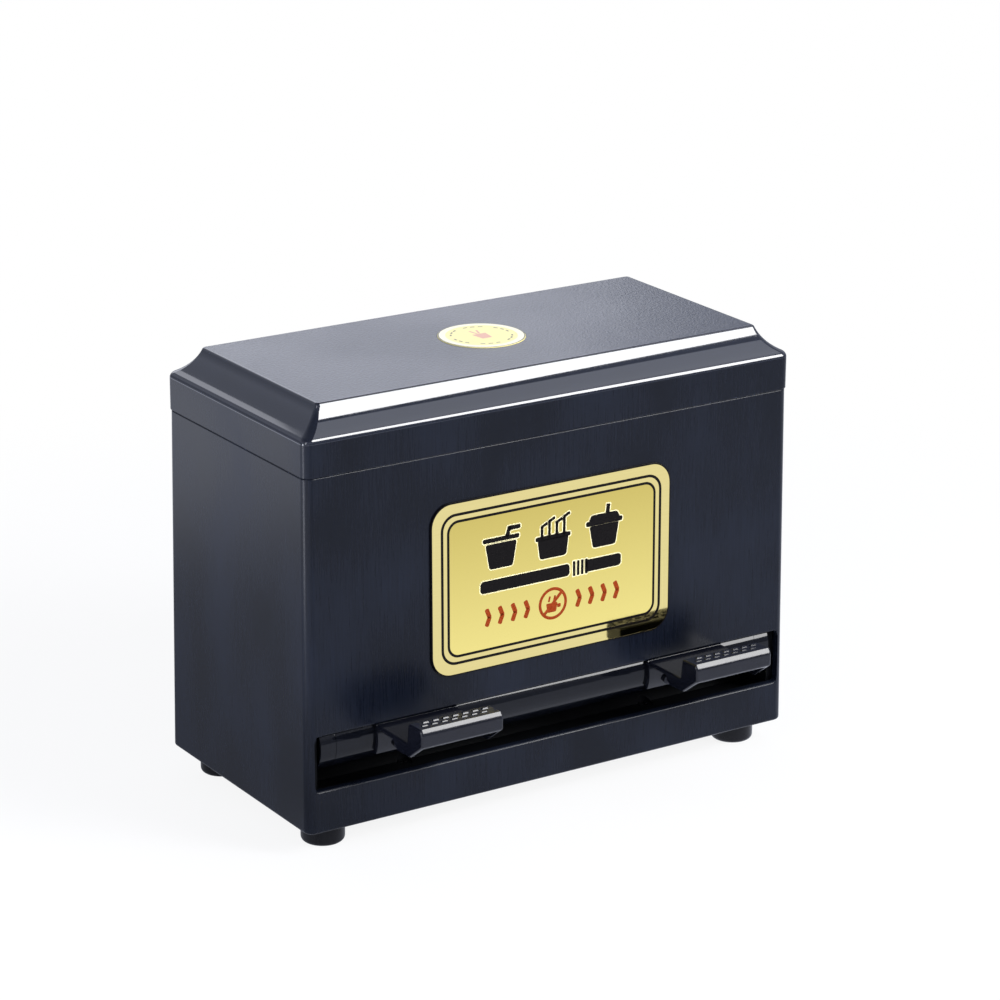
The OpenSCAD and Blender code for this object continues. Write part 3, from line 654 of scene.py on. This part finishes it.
def addLid(c):
    middle = cabinet["midY"]
    halfX, halfY = c["width"] / 2, c["depth"] / 2
    piece = addBlock("lid_shell", (-halfX, middle - halfY, c["seam"]), (halfX, middle + halfY, c["ledge"]))
    startEdit(piece)
    pick(piece, "EDGE", lambda a, b: abs(a.z - b.z) > 1)
    roundEdges(c["cornerRadius"], 8)

    # The cove: the top face is drawn up ring by ring, each corner moved in and made a little sharper,
    # with the rings a little closer near the ledge
    level, drawnX, drawnY, radius = c["ledge"], 0, 0, c["cornerRadius"]
    for step in range(1, c["coveSteps"] + 1):
        share = step / c["coveSteps"]
        rise = c["coveEven"] * share + (1 - c["coveEven"]) * share ** c["coveClose"]
        z = c["ledge"] + (c["top"] - c["ledge"]) * rise
        if step == c["coveSteps"]:
            z = c["top"]
        moveX, moveY = coveDraw(z, c["coveX"]) - drawnX, coveDraw(z, c["coveY"]) - drawnY
        nextRadius = c["cornerRadius"] + (c["topCornerRadius"] - c["cornerRadius"]) * share
        pick(piece, "FACE", lambda p, n: n.z > square and p.z > level - hair)
        extrude(z=z - level)
        for sx in (-1, 1):
            for sy in (-1, 1):
                pick(piece, "VERT", lambda p: p.z > z - hair and p.x * sx > 0 and (p.y - middle) * sy > 0)
                shift(-sx * moveX, -sy * moveY)
                corner = (sx * (halfX - drawnX - moveX), middle + sy * (halfY - drawnY - moveY), z)
                bpy.ops.transform.resize(value=(nextRadius / radius, nextRadius / radius, 1),
                                         center_override=mm(*corner))
        level, drawnX, drawnY, radius = z, drawnX + moveX, drawnY + moveY, nextRadius

    for z, offset, segments in ((c["top"], c["topEdge"], 3), (c["ledge"], c["ledgeEdge"], 5)):
        pick(piece, "EDGE", lambda a, b: abs(a.z - z) < hair and abs(b.z - z) < hair)
        roundEdges(offset, segments)

    # The hollow, drawn up into the block from below
    pick(piece, "FACE", lambda p, n: n.z < -square)
    extrude()
    bpy.ops.transform.resize(value=(c["innerWidth"] / c["width"], c["innerDepth"] / c["depth"], 1),
                             center_override=mm(0, middle, c["seam"]))
    extrude(z=c["innerTop"] - c["seam"])
    extrude()
    bpy.ops.transform.resize(value=(c["crownWidth"] / c["innerWidth"], c["crownDepth"] / c["innerDepth"], 1),
                             center_override=mm(0, middle, c["innerTop"]))
    extrude(z=c["crownTop"] - c["innerTop"])
    pick(piece, "EDGE", lambda a, b: max(a.z, b.z) < c["seam"] + hair and all(
        abs(p.x) > c["innerWidth"] / 2 + hair or abs(p.y - middle) > c["innerDepth"] / 2 + hair
        for p in (a, b)))
    roundEdges(c["footEdge"], 3)
    seat = addUpright("seat", c["seatRadius"], (0, middle), c["seatFloor"], c["seatCut"], 96)
    combine(piece, [seat], "DIFFERENCE")
    finishPiece(piece, "lid_unit", ["polishedBlackAbs", "pebbledBlackAbs", "brushedBlackAbs"],
                ["lid"])
    for face in piece.data.polygons:
        place = face.center * 1000
        if place.z > c["top"] - hair and face.normal.z > square:
            face.material_index = 1
        elif place.z < c["ledge"] - c["ledgeEdge"] and abs(face.normal.z) < c["sheer"]:
            face.material_index = 2
    return piece


addLid(lid)


medallion = {"radius": 18.2, "low": 184.0, "high": 185.0, "edge": 0.25, "ink": 0.02, "sunk": 0.004,
             "oliveRing": (18.0, 17.5), "creamRing": (17.5, 14.9),
             "tickRadius": 12.6, "ticks": 24, "tickGroup": 4, "tickSize": (1.9, 0.7),
             "cup": ((-3.2, -4.6), (3.2, 2.2)), "cupFoot": 0.7,
             "straws": ((-0.9, 0.16), (1.3, -0.3)), "strawY": 4.9, "strawSize": (0.9, 5.0)}


def inkRing(name, middle, outer, inner, ink, turn=(0, 0, 0), sides=96):
    # Thin ring of ink: a disc, inset and opened
    clearSelection()
    bpy.ops.mesh.primitive_circle_add(vertices=sides, radius=outer * millimetre, fill_type="NGON",
                                      location=mm(*middle), rotation=turn)
    ring = settle(name)
    startEdit(ring)
    openMiddle(outer - inner)
    applyModifier(ring, "SOLIDIFY", thickness=ink * millimetre, offset=1)
    return ring


def addMedallion(c):
    middle = cabinet["midY"]
    disc = addUpright("medallion_disc", c["radius"], (0, middle), c["low"], c["high"], 96)
    startEdit(disc)
    pick(disc, "EDGE", lambda a, b: min(a.z, b.z) > c["high"] - hair)
    roundEdges(c["edge"], 3)
    shift(z=-c["ink"] * 1.5)
    finishPiece(disc, "lid_unit", ["paleYellowLacquer"], ["lid_medallion"])
    face = c["high"] - c["ink"] * 1.5 - c["sunk"]
    inkMiddle = face + c["ink"] / 2
    for name, radii, ink in (("medallion_edge_line", "oliveRing", "oliveInk"),
                             ("medallion_border", "creamRing", "creamLacquer")):
        finishPiece(inkRing(name, (0, middle, face), *c[radii], c["ink"]), "lid_unit", [ink])
    marks = []
    for index in range(c["ticks"]):
        if index % c["tickGroup"] < c["tickGroup"] - 1:
            turn = 2 * pi * index / c["ticks"]
            x, y = c["tickRadius"] * cos(turn), middle + c["tickRadius"] * sin(turn)
            marks.append(addBar("mark", (*c["tickSize"], c["ink"]), (x, y, inkMiddle), (0, 0, turn + pi / 2)))
    finishPiece(joinAs("medallion_marks", marks), "lid_unit", ["oliveInk"])

    # A tumbler with two straws, plain shapes of faded red
    (left, near), (right, far) = c["cup"]
    parts = [addBlock("cup", (left, middle + near, face), (right, middle + far, face + c["ink"]))]
    startEdit(parts[0])
    pick(parts[0], "FACE", lambda p, n: n.y < -square)
    bpy.ops.transform.resize(value=(c["cupFoot"], 1, 1), center_override=mm(0, middle + near, face))
    for x, turn in c["straws"]:
        parts.append(addBar("straw", (*c["strawSize"], c["ink"]), (x, middle + c["strawY"], inkMiddle),
                            (0, 0, turn)))
    finishPiece(joinAs("medallion_motif", parts), "lid_unit", ["fadedRedInk"])


addMedallion(medallion)


plate = {"width": 116, "height": 73, "radius": 9.5, "x": -2, "z": 101, "gap": 0.03, "thickness": 0.8,
         "edge": 0.2, "ink": 0.03, "edgeLine": 0.4, "fieldInset": 8.4, "frames": ((4.65, 1.15), (7.55, 1.1)),
         "insetRound": 0.55, "lineLift": 0.02, "fieldLift": 0.01, "halo": 0.9,
         "cupsZ": 114.6, "strawZ": 99.2, "steamZ": 86.2}

# The black artwork, from the plate's middle and its row's height: bars as x, z, width, height, lean,
# taper of the foot and softness of the corners
cups = {
    "tumbler": ((-25, -3.0, 15, 10.6, 0, 0.74, 1.0), (-25, 3.9, 17.4, 1.9, 0, 1, 0.7),
                (-21.6, 6.2, 1.9, 4.6, 0.28, 1, 0.4), (-18.5, 7.7, 5.6, 1.9, 0, 1, 0.7)),
    "jar": ((0, -4.4, 15, 8.4, 0, 0.86, 1.2), (0, 0.2, 17, 1.9, 0, 1, 0.7)),
    "lidded": ((25, -3.6, 14.5, 9.4, 0, 0.76, 1.0), (25, 2.2, 18, 2.1, 0, 1, 0.8),
               (25, 4.5, 12.4, 2.5, 0, 1.25, 0.8), (26.8, 7.5, 1.9, 4.0, 0.12, 1, 0.3)),
}
jarStraws = {"tops": (5.6, 7.4, 6.4, 8.2), "pitch": 3.6, "width": 1.3, "bend": (1.2, 0.2, 3.4, 1.3, -0.45)}
longStraw = {"bars": ((-13.4, 0, 43, 5.2, 0, 1, 1.5), (24.6, 0, 17.6, 5.2, 0, 1, 1.5)),
             "creases": 4, "creaseFrom": 10.3, "creasePitch": 2.0, "creaseSize": (1.25, 6.4)}

# The red artwork: the cup, its handle and two wisps (x, z, width, height, lean, taper, softness), struck
# out in a ring, and pairs of leaning wisps on either side
hotCup = {"ring": (6.9, 5.6), "stroke": (1.4, 12.2, pi / 4), "strokeLift": 0.04,
          "bars": ((-0.5, -1.7, 5.6, 4.0, 0, 0.75, 0.6), (3.0, -1.3, 1.7, 1.6, 0, 1, 0.3),
                   (-1.7, 2.1, 0.9, 2.4, 0.25, 1, 0.2), (0.8, 2.1, 0.9, 2.4, 0.25, 1, 0.2)),
          "wisps": 4, "wispFrom": 12.6, "wispPitch": 6.2, "wispZ": 1.7, "wispSize": (2.0, 4.4),
          "wispLean": 0.38, "wispSoft": 0.6}


plateFront = -plate["gap"] - plate["thickness"]


def onFront(piece):
    # Turns a piece drawn flat round the origin, facing -Y, on to the leaning front
    return putAt(piece, (plate["x"], frontAt(plate["z"]), plate["z"]), (-lean, 0, 0))


def inkSheet(name, inset, radius, width, lift):
    # Thin rounded sheet of ink, or one closed line of it where it has a width
    w, h = plate["width"] / 2 - inset, plate["height"] / 2 - inset
    y = plateFront - lift
    sheet = addBlock(name, (-w, y, -h), (w, y + 1, h))
    startEdit(sheet)
    pick(sheet, "EDGE", lambda a, b: abs(a.y - b.y) > hair)
    roundEdges(radius, 10)
    pick(sheet, "FACE", lambda c, n: n.y > -square)
    bpy.ops.mesh.delete(type="FACE")
    if width:
        openMiddle(width)
    applyModifier(sheet, "SOLIDIFY", thickness=plate["ink"] * millimetre, offset=1)
    return sheet


def inkBar(x, z, width, height, turn=0.0, taper=1.0, soft=0.0, lift=0.03):
    # Flat bar of ink on the plate, by its middle; taper narrows its foot, and turn leans it
    bar = addBlock("ink", (-width / 2, -plate["ink"], -height / 2), (width / 2, 0, height / 2))
    startEdit(bar)
    if taper != 1.0:
        pick(bar, "FACE", lambda c, n: n.z < -square)
        bpy.ops.transform.resize(value=(taper, 1, 1), center_override=mm(0, 0, -height / 2))
    if soft:
        pick(bar, "EDGE", lambda a, b: abs(a.y - b.y) > plate["ink"] / 2)
        roundEdges(soft, 3)
    return putAt(bar, (x, plateFront - lift, z), (0, turn, 0))


def inkBars(bars, grow=0.0):
    # grow makes the pale halo, which lies below the black
    return [inkBar(x, z, width + grow, height + grow, turn, taper, soft + grow / 3, lift=0.05 - grow * 0.02)
            for x, z, width, height, turn, taper, soft in bars]


def blackArtwork():
    # A tumbler with a bent straw, a jar of bent straws and a lidded cup with one more; below them one
    # long straw with a creased bend
    z = plate["cupsZ"] - plate["z"]
    bars = [(x, z + up, *rest) for cup in cups.values() for x, up, *rest in cup]
    bendX, bendZ, bendWidth, bendHeight, bendLean = jarStraws["bend"]
    for index, up in enumerate(jarStraws["tops"]):
        x, top = (index - (len(jarStraws["tops"]) - 1) / 2) * jarStraws["pitch"], z + up
        bars += [(x, (z + top) / 2, jarStraws["width"], top - z, 0, 1, 0.3),
                 (x + bendX, top + bendZ, bendWidth, bendHeight, bendLean, 1, 0.4)]
    z = plate["strawZ"] - plate["z"]
    bars += [(x, z + up, *rest) for x, up, *rest in longStraw["bars"]]
    for index in range(longStraw["creases"]):
        x = longStraw["creaseFrom"] + index * longStraw["creasePitch"]
        bars.append((x, z, *longStraw["creaseSize"], 0, 1, 0.4))
    return bars


def redArtwork(c):
    z = plate["steamZ"] - plate["z"]
    parts = [inkRing("ink", (0, plateFront - plate["ink"], z), *c["ring"], plate["ink"], (pi / 2, 0, 0), 48),
             inkBar(0, z, *c["stroke"], lift=c["strokeLift"])]
    parts += [inkBar(x, z + up, *rest) for x, up, *rest in c["bars"]]
    for side in (-1, 1):
        for index in range(c["wisps"]):
            x = side * (c["wispFrom"] + index * c["wispPitch"])
            parts += [inkBar(x, z + up, *c["wispSize"], lean, soft=c["wispSoft"])
                      for up, lean in ((-c["wispZ"], c["wispLean"]), (c["wispZ"], -c["wispLean"]))]
    return parts


def addPlate(c):
    w, h = c["width"] / 2, c["height"] / 2
    body = addBlock("gold_plate", (-w, plateFront, -h), (w, -c["gap"], h))
    startEdit(body)
    pick(body, "EDGE", lambda a, b: abs(a.y - b.y) > hair)
    roundEdges(c["radius"], 12)
    pick(body, "EDGE", lambda a, b: max(a.y, b.y) < plateFront + hair)
    roundEdges(c["edge"], 2)
    finishPiece(onFront(body), "cabinet", ["brightGoldAluminium", "blackScreenInk"],
                ["front_label"])
    for face in body.data.polygons:
        face.material_index = 0 if face.normal.y < -square else 1  # the sheared edge is stained black

    rounding = lambda inset: c["radius"] - inset * c["insetRound"]
    field = inkSheet("plate_gold_field", c["fieldInset"], rounding(c["fieldInset"]), 0, c["fieldLift"])
    lines = [inkSheet("line", c["edge"], c["radius"] - c["edge"], c["edgeLine"], c["lineLift"])]
    lines += [inkSheet("line", inset, rounding(inset), width, c["lineLift"]) for inset, width in c["frames"]]
    bars = blackArtwork()
    for piece, finishName in (
            (field, "goldLacquerPaintedReflection"), (joinAs("plate_pale_print", inkBars(bars, c["halo"])), "paleScreenInk"),
            (joinAs("plate_black_print", lines + inkBars(bars)), "blackScreenInk"),
            (joinAs("plate_red_print", redArtwork(hotCup)), "redScreenInk")):
        finishPiece(onFront(piece), "cabinet", [finishName])


addPlate(plate)


# Depth and height from the roller's axis; x from the lever's middle
lever = {"axisY": -27, "axisZ": 44.5, "x": (-66, 66), "half": 19,
         "plateTop": 6, "plateLow": 3.8, "plateEnd": -11.5, "barFront": -47, "barBack": -35.4, "barTop": 15.2,
         "barLip": 7.8, "keel": ((-37.4, 0.5), (-28.0, 0.1)), "keelEnd": -24.4, "brow": (1.3, 2.1),
         "browRound": 1.0, "backLean": 1, "topFall": 0.45, "rearRound": 1.1, "footRound": 0.7,
         "nookRound": 0.5, "sideRound": 0.9, "wornPaintedSheenFrom": 0.93, "wornPaintedSheenDepth": 1,
         "pockets": (((-45.4, -3), (-37.6, 12.6)), ((-38.6, -3), (-26.2, 3.6))), "pocketWall": 1.6,
         "saddle": (12.05, 13.95), "saddleFrom": -28, "saddleTo": 30, "saddleSteps": 14,
         "screwAngle": -12, "screwX": 10, "screwHole": 1.4, "screwHoleDeep": 8, "screwHoleIn": 2,
         "dashes": 7, "dashPitch": 4.6, "dashRows": (-42.3, -39.3), "dashSize": (2.7, 1.4, 0.24),
         "dashRoot": 0.3, "dashTop": (0.76, 0.42), "dashEdge": 0.1}


def addLever(c):
    oy, oz = c["axisY"], c["axisZ"]
    half = c["half"]
    piece = addBlock("lever", (-half, oy + c["keelEnd"], oz + c["plateLow"]),
                     (half, oy + c["plateEnd"], oz + c["plateTop"]))
    startEdit(piece)
    # The plate forward to the keel, to the bar's back and to its front
    (keelFrontY, keelFrontZ), (keelRearY, keelRearZ) = c["keel"]
    front = c["keelEnd"]

    def isLow(p):
        return p.z < oz + c["plateLow"] + hair

    def isFront(p):
        return p.y < oy + c["barFront"] + hair

    def across(y, z):
        return lambda a, b: abs(a.x - b.x) > half and all(
            abs(p.y - oy - y) < hair and abs(p.z - oz - z) < hair for p in (a, b))

    for target in (keelRearY, c["barBack"], c["barFront"]):
        pick(piece, "FACE", lambda p, n: n.y < -square and p.y < oy + front + hair)
        extrude(y=target - front)
        front = target
    pick(piece, "FACE", lambda p, n: n.z > square and p.y < oy + c["barBack"] - hair)
    extrude(z=c["barTop"] - c["plateTop"])
    # The back of the bar leans, the keel hangs, and the front lip lifts
    pick(piece, "VERT", lambda p: p.z > oz + c["barTop"] - hair and p.y > oy + c["barBack"] - hair)
    shift(y=-c["backLean"], z=-c["topFall"])
    pick(piece, "VERT", lambda p: abs(p.y - oy - keelRearY) < hair and isLow(p))
    shift(z=keelRearZ - c["plateLow"])
    pick(piece, "VERT", lambda p: abs(p.y - oy - c["barBack"]) < hair and isLow(p))
    shift(y=keelFrontY - c["barBack"], z=keelFrontZ - c["plateLow"])
    pick(piece, "VERT", lambda p: isFront(p) and isLow(p))
    shift(z=c["barLip"] - c["plateLow"])
    pick(piece, "VERT", lambda p: isFront(p) and abs(p.z - oz - c["plateTop"]) < hair)
    shift(z=c["barLip"] - c["plateTop"])
    mergePoints(0.01)
    bpy.ops.mesh.dissolve_limited(angle_limit=radians(0.5))

    # The brow: a narrow slope along the bar's front top; then every long edge is rounded
    back, down = c["brow"]
    pick(piece, "EDGE", across(c["barFront"], c["barTop"]))
    roundEdges(back, 1)
    pick(piece, "VERT", lambda p: isFront(p) and p.z > oz + c["barTop"] - back - hair)
    shift(z=back - down)
    for y, z, offset, segments in (
            (c["barFront"], c["barTop"] - down, c["browRound"], 5),
            (c["barFront"] + back, c["barTop"], c["browRound"], 6),
            (c["barBack"] - c["backLean"], c["barTop"] - c["topFall"], c["rearRound"], 4),
            (c["barFront"], c["barLip"], c["footRound"], 4), (keelFrontY, keelFrontZ, c["footRound"], 4),
            (keelRearY, keelRearZ, c["footRound"], 4), (c["barBack"], c["plateTop"], c["nookRound"], 3)):
        pick(piece, "EDGE", across(y, z))
        roundEdges(offset, segments)
    pick(piece, "EDGE", lambda a, b: abs(a.x - b.x) < hair and abs(a.x) > half - hair)
    roundEdges(c["sideRound"], 4)

    # The saddle round the roller: one section turned about the roller's axis
    inner, outer = c["saddle"]
    middle = (inner + outer) / 2
    low = radians(c["saddleFrom"])
    clearSelection()
    bpy.ops.mesh.primitive_plane_add(
        size=1, rotation=(pi - low, 0, 0),
        location=mm(0, oy - middle * cos(low), oz + middle * sin(low)))
    bpy.context.object.scale = mm(2 * half, outer - inner, 1)
    saddle = settle("saddle")
    startEdit(saddle)
    bpy.ops.mesh.select_all(action="SELECT")
    bpy.ops.mesh.spin(steps=c["saddleSteps"], angle=radians(c["saddleTo"]) - low, center=mm(0, oy, oz),
                      axis=(1, 0, 0))
    mergePoints()
    bpy.ops.mesh.normals_make_consistent(inside=False)
    bpy.ops.mesh.select_all(action="SELECT")
    bpy.ops.mesh.bisect(plane_co=mm(0, oy, oz + c["plateTop"]), plane_no=(0, 0, 1), clear_outer=True,
                        use_fill=True)
    clearSelection()
    combine(piece, [saddle], "UNION")

    angle, away = radians(c["screwAngle"]), outer - c["screwHoleIn"]
    place = (oy - away * cos(angle), oz + away * sin(angle))
    holes = [addDrum("screwHole", c["screwHole"], c["screwHoleDeep"], (x, *place), (pi / 2 - angle, 0, 0), 24)
             for x in (-c["screwX"], c["screwX"])]
    # The underside is hollow between two end walls
    side = half - c["pocketWall"]
    for (front, low), (back, high) in c["pockets"]:
        holes.append(addBlock("pocket", (-side, oy + front, oz + low), (side, oy + back, oz + high)))
    combine(piece, holes, "DIFFERENCE")

    # Two staggered rows of raised dashes along the bar's top, for grip
    top = oz + c["barTop"]
    sizeX, sizeY, lift = c["dashSize"]
    dash = addBlock("dash", (-sizeX / 2, oy - sizeY / 2, top - c["dashRoot"]),
                    (sizeX / 2, oy + sizeY / 2, top + lift))
    startEdit(dash)
    pick(dash, "FACE", lambda p, n: n.z > square)
    bpy.ops.transform.resize(value=(*c["dashTop"], 1), center_override=mm(0, oy, top + lift))
    pick(dash, "EDGE", lambda a, b: min(a.z, b.z) > top + lift - hair)
    roundEdges(c["dashEdge"], 2)
    clearSelection()
    dashes = []
    for row, y in enumerate(c["dashRows"]):
        start = (row / 2 - 0.25 - (c["dashes"] - 1) / 2) * c["dashPitch"]
        dashes += [copyOf(dash, "dash", start + index * c["dashPitch"], y) for index in range(c["dashes"])]
    bpy.data.objects.remove(dash)
    return joinAs("lever", [piece] + dashes)


middleLever = addLever(lever)
for side, leverX in zip(("left", "right"), lever["x"]):
    leverPiece = copyOf(middleLever, side + "_lever_bar", x=leverX)
    finishPiece(leverPiece, "roller_unit", ["handledBlackAbs", "wornPaintedSheenAbs"],
                [side + "_lever"])
    # The bar's top faces, which look up, take the worn finish with its painted sheen
    wornPaintedSheenAbove = (lever["axisZ"] + lever["barTop"] - lever["wornPaintedSheenDepth"]) * millimetre
    for face in leverPiece.data.polygons:
        if face.center.z > wornPaintedSheenAbove and face.normal.z > lever["wornPaintedSheenFrom"]:
            face.material_index = 1
bpy.data.objects.remove(middleLever)


foot = {"x": (-102, 102), "y": (-25.5, 58.5), "radius": 9, "height": 10, "roll": 2.0, "recess": 4.8,
        "recessDepth": 4, "topEdge": 0.4, "hole": 2.15}


def addFeet(c):
    first = addDrum("foot", c["radius"], c["height"], (0, 0, c["height"] / 2), sides=64)
    startEdit(first)
    pick(first, "EDGE", lambda a, b: max(a.z, b.z) < hair)
    roundEdges(c["roll"], 6)
    pick(first, "EDGE", lambda a, b: min(a.z, b.z) > c["height"] - hair)
    roundEdges(c["topEdge"], 3)
    pick(first, "FACE", lambda p, n: n.z < -square and hypot(*p) < hair)
    bpy.ops.mesh.inset(thickness=(c["radius"] - c["roll"] - c["recess"]) * millimetre)
    extrude(z=c["recessDepth"])
    clearSelection()
    hole = addDrum("hole", c["hole"], 2 * c["height"], (0, 0, c["height"] / 2), sides=32)
    combine(first, [hole], "DIFFERENCE")
    for rowName, y in zip(("front", "rear"), c["y"]):
        for sideName, x in zip(("left", "right"), c["x"]):
            node = "foot_" + rowName + "_" + sideName
            made = copyOf(first, node + "_rubber", x, y)
            finishPiece(made, "cabinet", ["blackFootRubber"], [node])
    bpy.data.objects.remove(first)


addFeet(foot)


def copySolid(nodeName, name):
    # A solid's own copy, free of its body and of its marks
    made = copyOf(nodes[nodeName], name)
    made.parent = None
    for key in list(made.keys()):
        del made[key]
    return made


# Their solids are right as they are: each gets softened edges (mm) and its finish
innerParts = {
    "drumBlackAbs": {"straw_roller": 0.35, "left_end_cap": 0.3, "spring_cup": 0.3},
    # The inner parts take the darker finish, whose colour paints the shade inside the cabinet
    "innerPaintedShadeAbs": {"base_plate": 0.3, "straw_trough": 0.3, "left_cheek": 0.25, "right_cheek": 0.25,
                      "straw_chute": 0.3, "left_side_guide": 0.25, "right_side_guide": 0.25},
    "blackWiperRubber": {"front_wiper": 0.0},
    "naturalNylon": {"left_bush": 0.15, "right_bush": 0.15},
}


def dressCopy(name, edge, finishName):
    # A copy of the solid, merged, its flat faces made whole and its edges softened
    body = next(key for key, members in frame["record"]["behaviour"]["bodies"].items() if name in members)
    made = copySolid(name, name + "_skin")
    startEdit(made)
    mergePoints(0.002)
    bpy.ops.mesh.dissolve_limited(angle_limit=radians(0.5))
    clearSelection()
    if edge:
        applyModifier(made, "BEVEL", width=edge * millimetre, segments=2, limit_method="ANGLE",
                      angle_limit=radians(38), use_clamp_overlap=True)
    finishPiece(made, body, [finishName], [name])


for partFinish, softEdges in innerParts.items():
    for nodeName, softEdge in softEdges.items():
        dressCopy(nodeName, softEdge, partFinish)


def addSpring():
    spring = copySolid("return_spring", "return_spring_wire")
    spring.data.materials.clear()
    spring.data.materials.append(finish["springSteelWire"])
    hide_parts("return_spring")
    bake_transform(spring)
    print("made", spring.name)


addSpring()

# The small metal parts keep their own solids
metalParts = {
    "groundSteel": ("left_axle_pin", "right_axle_pin", "stop_pin"),
    "zincPlatedSteel": ("foot_screws", "cheek_screws", "chute_screws"),
    "blackZincPlatedSteel": ("lever_screws", "trough_screws"),
}
for metal, names in metalParts.items():
    for nodeName in names:
        nodes[nodeName].data.materials.clear()
        nodes[nodeName].data.materials.append(finish[metal])

print("pieces done")
